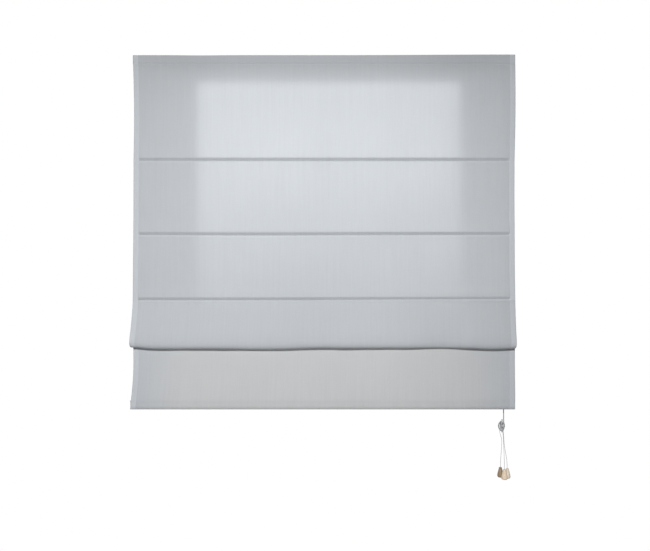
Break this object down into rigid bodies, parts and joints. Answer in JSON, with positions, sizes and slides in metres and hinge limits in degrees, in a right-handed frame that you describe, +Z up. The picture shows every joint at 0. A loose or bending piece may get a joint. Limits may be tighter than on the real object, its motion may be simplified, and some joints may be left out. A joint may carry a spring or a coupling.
{
  "type": "roman blind",
  "caption": "Flat roman blind on a wall batten, drawn partly up, with rods in sewn tucks, rings, lift cords over pulleys, a wall cleat and turned wooden tassels.",
  "frame": {"origin": "middle of the batten's back face, which lies on the wall", "axes": "+Z up, +X to the right as seen from the room, +Y out of the back and into the wall"},
  "size_m": [1.8, 0.072, 1.996],
  "materials": {
    "batten_wood": "planed softwood, bare",
    "tape_hook": "stiff hook tape",
    "tape_loop": "soft loop tape",
    "cloth": "plain woven, slightly see-through",
    "rod": "drawn glass-fibre rod",
    "cap": "moulded",
    "bar": "extruded",
    "ring": "clear-white moulded ring",
    "bracket_steel": "zinc-plated sheet",
    "pin_steel": "plated",
    "screw_steel": "plated",
    "wheel_nylon": "moulded nylon",
    "cord": "braided",
    "cleat_plastic": "moulded",
    "tassel_wood": "turned, thin clear coat"
  },
  "bodies": {
    "blind": {"head_batten": "batten_wood", "hook_tape": "tape_hook", "loop_tape": "tape_loop", "cloth": "cloth", "rod_1": "rod", "rod_2": "rod", "rod_3": "rod", "rod_4": "rod", "rod_caps": "cap", "bottom_bar": "bar", "rings_left": "ring", "rings_centre": "ring", "rings_right": "ring", "end_bracket": "bracket_steel", "end_pin": "pin_steel", "pulley_screws": "screw_steel", "ring_knots": "cord", "cleat": "cleat_plastic", "cord_winding": "cord", "tassel_knots": "cord", "pulley_bracket_left": "bracket_steel", "pulley_pin_left": "pin_steel", "lift_cord_left": "cord", "cord_tail_left": "cord", "tassel_left": "tassel_wood", "pulley_bracket_centre": "bracket_steel", "pulley_pin_centre": "pin_steel", "lift_cord_centre": "cord", "cord_tail_centre": "cord", "tassel_centre": "tassel_wood", "pulley_bracket_right": "bracket_steel", "pulley_pin_right": "pin_steel", "lift_cord_right": "cord", "cord_tail_right": "cord", "tassel_right": "tassel_wood"},
    "pulley_wheel_left": {"pulley_wheel_left": "wheel_nylon"},
    "end_wheel_left": {"end_wheel_left": "wheel_nylon"},
    "pulley_wheel_centre": {"pulley_wheel_centre": "wheel_nylon"},
    "end_wheel_centre": {"end_wheel_centre": "wheel_nylon"},
    "pulley_wheel_right": {"pulley_wheel_right": "wheel_nylon"},
    "end_wheel_right": {"end_wheel_right": "wheel_nylon"}
  },
  "joints": [
    {"name": "pulley_spin_left", "type": "hinge", "parent": "blind", "child": "pulley_wheel_left", "pos_m": [-0.5928, -0.0205, -0.0315], "axis": [0, 1, 0], "continuous": true},
    {"name": "end_spin_left", "type": "hinge", "parent": "blind", "child": "end_wheel_left", "pos_m": [0.8438, -0.0205, -0.0315], "axis": [0, 1, 0], "continuous": true},
    {"name": "pulley_spin_centre", "type": "hinge", "parent": "blind", "child": "pulley_wheel_centre", "pos_m": [0.0072, -0.0155, -0.0315], "axis": [0, 1, 0], "continuous": true},
    {"name": "end_spin_centre", "type": "hinge", "parent": "blind", "child": "end_wheel_centre", "pos_m": [0.8438, -0.0155, -0.0315], "axis": [0, 1, 0], "continuous": true},
    {"name": "pulley_spin_right", "type": "hinge", "parent": "blind", "child": "pulley_wheel_right", "pos_m": [0.6072, -0.0105, -0.0315], "axis": [0, 1, 0], "continuous": true},
    {"name": "end_spin_right", "type": "hinge", "parent": "blind", "child": "end_wheel_right", "pos_m": [0.8438, -0.0105, -0.0315], "axis": [0, 1, 0], "continuous": true}
  ]
}
